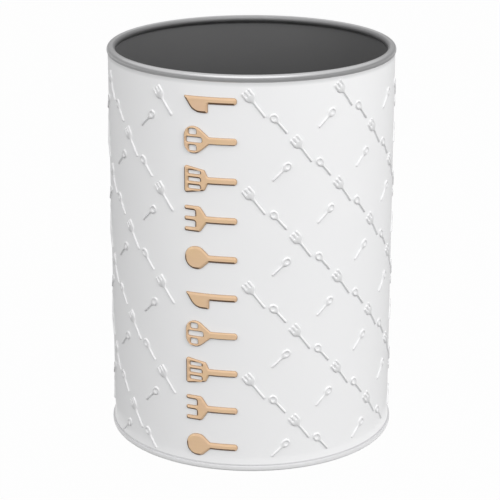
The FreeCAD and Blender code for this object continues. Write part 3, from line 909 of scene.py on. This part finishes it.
def stand_forms(tree, given, points, form, corners, shift, slant):
    """One kind of form beside each point, where it fits: not in the plain band, nor at the seam."""
    lowest, highest = clear_levels(corners, slant)
    moved = add(tree, "GeometryNodeSetPosition", {
        "Geometry": points,
        "Offset": (shift[0] * MM, 0, shift[1] * MM),
    }).outputs[0]
    place = add(tree, "ShaderNodeSeparateXYZ", {0: add(tree, "GeometryNodeInputPosition").outputs[0]})
    across, level = place.outputs[0], place.outputs[2]
    left_of = compared(tree, across, "LESS_THAN", given["Plain From"])
    right_of = compared(tree, across, "GREATER_THAN", given["Plain To"])
    kept = either(tree, left_of, right_of)
    limits = (
        compared(tree, maths(tree, "ABSOLUTE", across), "LESS_THAN", given["Pattern Half"]),
        compared(tree, level, "GREATER_THAN", lowest * MM),
        compared(tree, level, "LESS_THAN", highest * MM),
    )
    for limit in limits:
        kept = add(tree, "FunctionNodeBooleanMath", {0: kept, 1: limit}, operation="AND").outputs[0]
    source = add(tree, "GeometryNodeObjectInfo", {"Object": form})
    return add(tree, "GeometryNodeInstanceOnPoints", {
        "Points": moved,
        "Selection": kept,
        "Instance": source.outputs["Geometry"],
        "Rotation": (0, math.radians(-slant), 0),
    }).outputs[0]


def bent_round(tree, given, forms):
    """The flat forms bent round the wall and out over its flare."""
    place = add(tree, "ShaderNodeSeparateXYZ", {0: add(tree, "GeometryNodeInputPosition").outputs[0]})
    x, y, z = place.outputs
    angle = maths(tree, "DIVIDE", x, given["Wall Radius"])
    flare = rise(tree, z, given["Flare Top"], given["Flare Foot"], given["Flare Out"], "LINEAR")
    reach = maths(tree, "SUBTRACT", maths(tree, "ADD", given["Wall Radius"], flare), y)
    reach = maths(tree, "MINIMUM", reach, given["Outermost"])
    across = maths(tree, "MULTIPLY", reach, maths(tree, "SINE", angle))
    deep = maths(tree, "MULTIPLY", maths(tree, "MULTIPLY", reach, maths(tree, "COSINE", angle)), -1.0)
    bent = add(tree, "ShaderNodeCombineXYZ", {0: across, 1: deep, 2: z}).outputs[0]
    return add(tree, "GeometryNodeSetPosition", {"Geometry": forms, "Position": bent}).outputs[0]


def pattern_tree():
    """Chains of forks and spoons slanting down to the right, with free spoons between the chains."""
    tree = bpy.data.node_groups.new("pressed_pattern", "GeometryNodeTree")
    sizes = (
        "Wall Radius", "Flare Top", "Flare Foot", "Flare Out", "Outermost",
        "Column Pitch", "Row Pitch", "Column Drop", "First Column", "First Row",
        "Plain From", "Plain To", "Pattern Half",
    )
    for name in sizes:
        tree_input(tree, name, "Float")
    for name in ("Columns", "Rows"):
        tree_input(tree, name, "Int")
    for name in ("Fork", "Spoon"):
        tree_input(tree, name, "Object")
    tree_input(tree, "Finish", "Material")
    tree.interface.new_socket(name="Geometry", in_out="OUTPUT", socket_type="NodeSocketGeometry")
    given = add(tree, "NodeGroupInput").outputs
    points = lattice_points(tree, given)
    fork, spoon = mirrored(SMALL_FORK), mirrored(SMALL_SPOON)
    join = add(tree, "GeometryNodeJoinGeometry")
    for name, corners, shift, slant in (
        ("Fork", fork, (0, 0), FORK_SLANT),
        ("Spoon", spoon, CHAIN_SPOON_SHIFT, CHAIN_SPOON_SLANT),
        ("Spoon", spoon, FREE_SPOON_SHIFT, FREE_SPOON_SLANT),
    ):
        forms = stand_forms(tree, given, points, given[name], corners, shift, slant)
        tree.links.new(forms, join.inputs[0])
    real = add(tree, "GeometryNodeRealizeInstances", {0: join.outputs[0]}).outputs[0]
    bent = bent_round(tree, given, real)
    finish = {"Geometry": bent, "Material": given["Finish"]}
    finished = add(tree, "GeometryNodeSetMaterial", finish).outputs[0]
    add(tree, "NodeGroupOutput", {0: finished})
    return tree


def baked(name, tree, values):
    """A plain mesh of what a tree makes with these values for its inputs."""
    carrier = bpy.data.objects.new(name + "_carrier", bpy.data.meshes.new(name + "_carrier"))
    bpy.context.scene.collection.objects.link(carrier)
    modifier = carrier.modifiers.new("tree", "NODES")
    modifier.node_group = tree
    for item in tree.interface.items_tree:
        if item.in_out == "INPUT":
            modifier[item.identifier] = values[item.name]
    bpy.context.view_layer.update()
    ready = carrier.evaluated_get(bpy.context.evaluated_depsgraph_get())
    mesh = bpy.data.meshes.new_from_object(ready)
    mesh.name = name
    bpy.data.objects.remove(carrier)
    return mesh


def make_pressed_pattern():
    """The shallow pattern pressed out of the outer wall, but for the figures' band and the seam."""
    fork = pressed_form("small_fork", mirrored(SMALL_FORK))
    spoon = pressed_form("small_spoon", mirrored(SMALL_SPOON), [mirrored(SMALL_BOWL)])
    mesh = baked("pressed_pattern", pattern_tree(), {
        "Wall Radius": WALL_RADIUS * MM,
        "Flare Top": FLARE_TOP * MM,
        "Flare Foot": HEM_HEIGHT * MM,
        "Flare Out": FLARE_OUT * MM,
        "Outermost": OUTERMOST * MM,
        "Column Pitch": COLUMN_PITCH * MM,
        "Row Pitch": ROW_PITCH * MM,
        "Column Drop": COLUMN_DROP * MM,
        "First Column": (FRONT_FORK_ARC - COLUMNS_EACH_WAY * COLUMN_PITCH) * MM,
        "First Row": (FRONT_FORK_LEVEL + COLUMNS_EACH_WAY * COLUMN_DROP) * MM,
        "Plain From": (COLUMN_ARC - FIGURE_HALF - PLAIN_BEFORE) * MM,
        "Plain To": (COLUMN_ARC + FIGURE_HALF + PLAIN_AFTER) * MM,
        "Pattern Half": (math.pi * WALL_RADIUS - SEAM_GAP) * MM,
        "Columns": 2 * COLUMNS_EACH_WAY + 1,
        "Rows": PATTERN_ROWS,
        "Fork": fork,
        "Spoon": spoon,
        "Finish": WHITE,
    })
    for form in (fork, spoon):
        bpy.data.objects.remove(form)
    piece = new_piece("pressed_pattern", mesh, WHITE)
    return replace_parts(piece, "outer_wall")


# The studio


def shown_share(tree):
    """One where a ray comes from the camera, a reflection or clear glass, and otherwise none."""
    path = add(tree, "ShaderNodeLightPath")
    shown = maths(tree, "MAXIMUM", path.outputs["Is Camera Ray"], path.outputs["Is Glossy Ray"])
    return maths(tree, "MAXIMUM", shown, path.outputs["Is Transmission Ray"])


def make_floor():
    """A pale floor that shows white to the camera and in reflections, and keeps the pot's shadow."""
    bpy.ops.mesh.primitive_circle_add(vertices=CARD_STEPS, radius=FLOOR_RADIUS, fill_type="NGON")
    floor = bpy.context.object
    floor.name = "studio_floor"
    material, tree, shader, _ = new_finish("studio_floor", FLOOR_FINISH)
    glow = add(tree, "ShaderNodeEmission", {"Color": (1.0, 1.0, 1.0, 1.0), "Strength": 1.0})
    mix = add(tree, "ShaderNodeMixShader", {
        0: maths(tree, "MULTIPLY", shown_share(tree), FLOOR_WHITE_SHARE),
        1: shader.outputs[0],
        2: glow.outputs[0],
    })
    tree.links.new(mix.outputs[0], tree.nodes["Material Output"].inputs[0])
    floor.data.materials.append(material)


def show_card(name, bm, glow):
    """A card of the studio with an even glow, that only reflections show."""
    mesh = bpy.data.meshes.new(name)
    bm.to_mesh(mesh)
    bm.free()
    material = bpy.data.materials.new(name)
    material.use_nodes = True
    tree = material.node_tree
    shade = add(tree, "ShaderNodeEmission", {"Color": (1.0, 1.0, 1.0, 1.0), "Strength": glow})
    tree.links.new(shade.outputs[0], tree.nodes["Material Output"].inputs[0])
    mesh.materials.append(material)
    card = bpy.data.objects.new(name, mesh)
    bpy.context.scene.collection.objects.link(card)
    card.visible_camera = False
    card.visible_diffuse = False
    card.visible_transmission = False
    card.visible_shadow = False


def make_round_card(name, inner, outer, low, high, glow):
    """A grey card all round the pot, from one radius and level to another."""
    bm = bmesh.new()
    rings = []
    turns = [2 * math.pi * step / CARD_STEPS for step in range(CARD_STEPS)]
    for radius, level in ((inner, low), (outer, high)):
        places = [(radius * math.sin(turn), -radius * math.cos(turn), level) for turn in turns]
        rings.append([bm.verts.new(place) for place in places])
    for step in range(CARD_STEPS):
        after = (step + 1) % CARD_STEPS
        bm.faces.new((rings[0][step], rings[0][after], rings[1][after], rings[1][step]))
    show_card(name, bm, glow)


def make_overhead_card(name, left, right, front, back, level, glow):
    """A bright level card above the pot."""
    bm = bmesh.new()
    corners = ((left, front), (left, back), (right, back), (right, front))
    bm.faces.new([bm.verts.new((x, y, level)) for x, y in corners])
    show_card(name, bm, glow)


def make_world():
    """White to the camera and in reflections, and an even pale grey as light."""
    world = bpy.data.worlds.new("studio_world")
    bpy.context.scene.world = world
    world.use_nodes = True
    tree = world.node_tree
    strength = add(tree, "ShaderNodeMapRange", {
        "Value": shown_share(tree),
        "To Min": DAYLIGHT,
        "To Max": 1.0,
    })
    sky = tree.nodes["Background"]
    sky.inputs["Color"].default_value = (1.0, 1.0, 1.0, 1.0)
    tree.links.new(strength.outputs[0], sky.inputs["Strength"])


def make_lamp(name, place, width, height, power):
    """A rectangular soft lamp that faces the pot, which reflections leave to the softbox card."""
    lamp = bpy.data.lights.new(name, "AREA")
    lamp.shape = "RECTANGLE"
    lamp.size, lamp.size_y, lamp.energy = width, height, power
    held = bpy.data.objects.new(name, lamp)
    held.location = place
    held.rotation_euler = (LAMP_AIM - Vector(place)).to_track_quat("-Z", "Y").to_euler()
    held.visible_glossy = False
    bpy.context.scene.collection.objects.link(held)


def make_camera():
    """A long lens, a little above the pot and straight in front of it."""
    back = Vector((0.0, -math.cos(CAMERA_ELEVATION), math.sin(CAMERA_ELEVATION)))
    camera = bpy.data.cameras.new("camera")
    camera.sensor_width = CAMERA_SENSOR
    camera.lens = CAMERA_LENS
    camera.clip_start, camera.clip_end = CAMERA_CLIP
    held = bpy.data.objects.new("camera", camera)
    held.location = CAMERA_AIM + back * CAMERA_DISTANCE
    held.rotation_euler = (-back).to_track_quat("-Z", "Y").to_euler()
    bpy.context.scene.collection.objects.link(held)
    bpy.context.scene.camera = held


make_outer_wall()
make_back_seam()
make_inner_liner()
make_inner_floor()
make_base_plate()
make_rim_ring()
make_figures()
make_pressed_pattern()
make_floor()
make_round_card("surround_card", **SURROUND, glow=GREY_GLOW)
make_round_card("table_card", **TABLE, glow=GREY_GLOW)
make_overhead_card("softbox_card", **SOFTBOX, glow=WHITE_GLOW)
make_world()
for lamp_name, lamp_facts in LAMPS.items():
    make_lamp(lamp_name, *lamp_facts)
make_camera()
bpy.context.scene.view_settings.view_transform = "Standard"
